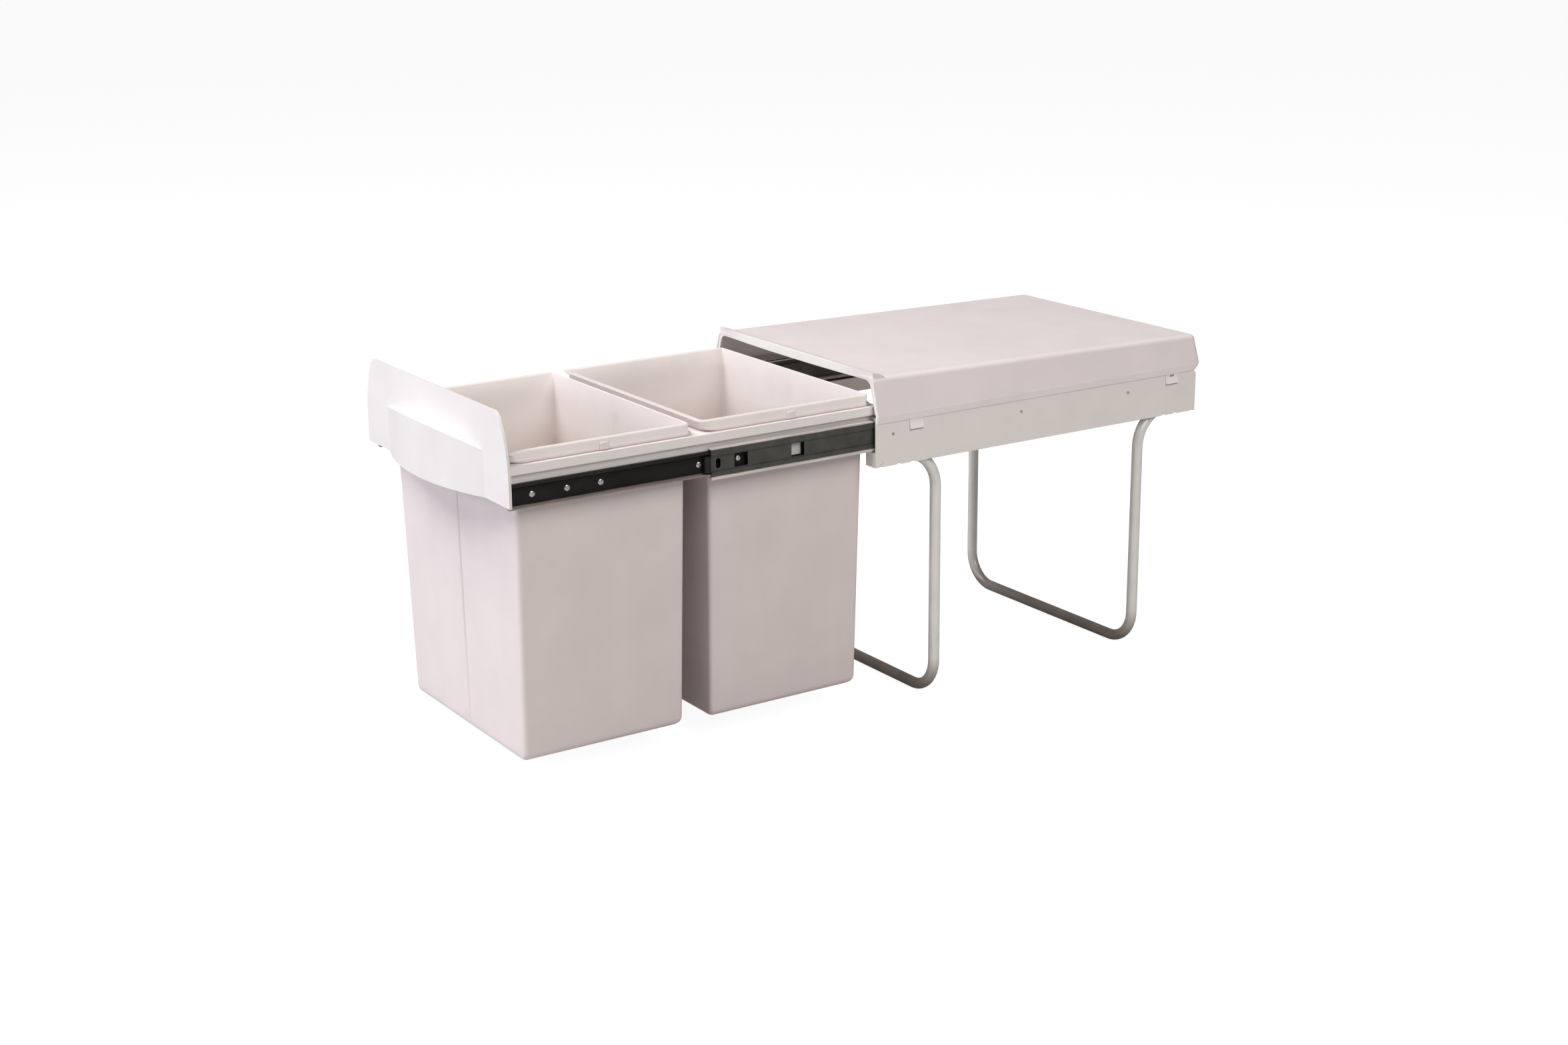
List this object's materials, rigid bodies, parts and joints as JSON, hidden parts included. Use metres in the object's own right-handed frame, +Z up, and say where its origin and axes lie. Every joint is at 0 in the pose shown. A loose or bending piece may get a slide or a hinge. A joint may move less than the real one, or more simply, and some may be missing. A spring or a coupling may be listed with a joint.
{
  "type": "pull out trash cabinet unit",
  "caption": "Pull out trash unit with tapered lift-out bins on a full-extension drawer, under a moulded cover on tube legs.",
  "frame": {"origin": "under the middle of the front leg's foot bar, at the cupboard floor", "axes": "+Z up; -Y the way the drawer pulls out, so +Y points to the back of the cupboard; +X to the right as the row is seen with -Y on the left"},
  "size_m": [0.348, 0.9632, 0.4206],
  "materials": {
    "cover_plastic": "fine satin grain",
    "bin_plastic": "satin moulded",
    "plate_plastic": "semi-gloss",
    "panel_paint": "powder coated",
    "rail_paint": "powder coated",
    "leg_metal": "satin plated tube",
    "slide_outer_zinc": "zinc plated",
    "slide_dark": "black electrophoretic coat with worn bright edges",
    "ball_steel": "polished",
    "cage_plastic": "moulded",
    "screw_steel": "nickel plated",
    "bumper_rubber": "matt"
  },
  "bodies": {
    "frame": {"top_cover": "cover_plastic", "front_leg": "leg_metal", "rear_leg": "leg_metal", "side_panel_left": "panel_paint", "side_panel_right": "panel_paint", "slide_outer_left": "slide_outer_zinc", "slide_outer_right": "slide_outer_zinc", "panel_screws_left": "screw_steel", "panel_screws_right": "screw_steel"},
    "drawer": {"front_plate": "plate_plastic", "plate_screws": "screw_steel", "tray_front_bar": "rail_paint", "tray_divider": "rail_paint", "tray_rear_bar": "rail_paint", "tray_rail_left": "rail_paint", "tray_rail_right": "rail_paint", "slide_inner_left": "slide_dark", "slide_inner_right": "slide_dark", "inner_screws_left": "screw_steel", "inner_screws_right": "screw_steel"},
    "middles": {"slide_middle_left": "slide_dark", "slide_middle_right": "slide_dark", "slide_bumper_left": "bumper_rubber", "slide_bumper_right": "bumper_rubber"},
    "cages_outer": {"ball_cage_outer_left": "cage_plastic", "ball_cage_outer_right": "cage_plastic", "balls_outer_left": "ball_steel", "balls_outer_right": "ball_steel"},
    "cages_inner": {"ball_cage_inner_left": "cage_plastic", "ball_cage_inner_right": "cage_plastic", "balls_inner_left": "ball_steel", "balls_inner_right": "ball_steel"},
    "bin_front": {"bin_front": "bin_plastic"},
    "bin_rear": {"bin_rear": "bin_plastic"}
  },
  "joints": [
    {"name": "drawer_slide", "type": "slide", "parent": "frame", "child": "drawer", "axis": [0, 1, 0], "range_m": [0, 0.45]},
    {"name": "middle_slide", "type": "slide", "parent": "frame", "child": "middles", "axis": [0, 1, 0], "range_m": [0, 0.225]},
    {"name": "cage_outer_slide", "type": "slide", "parent": "frame", "child": "cages_outer", "axis": [0, 1, 0], "range_m": [0, 0.1125]},
    {"name": "cage_inner_slide", "type": "slide", "parent": "frame", "child": "cages_inner", "axis": [0, 1, 0], "range_m": [0, 0.3375]},
    {"name": "bin_front_lift", "type": "slide", "parent": "drawer", "child": "bin_front", "axis": [0, 0, 1], "range_m": [0, 0.008]},
    {"name": "bin_rear_lift", "type": "slide", "parent": "drawer", "child": "bin_rear", "axis": [0, 0, 1], "range_m": [0, 0.008]}
  ],
  "couplings": [
    {"joint": "middle_slide", "follows": "drawer_slide", "ratio": 0.5},
    {"joint": "cage_outer_slide", "follows": "drawer_slide", "ratio": 0.25},
    {"joint": "cage_inner_slide", "follows": "drawer_slide", "ratio": 0.75}
  ]
}
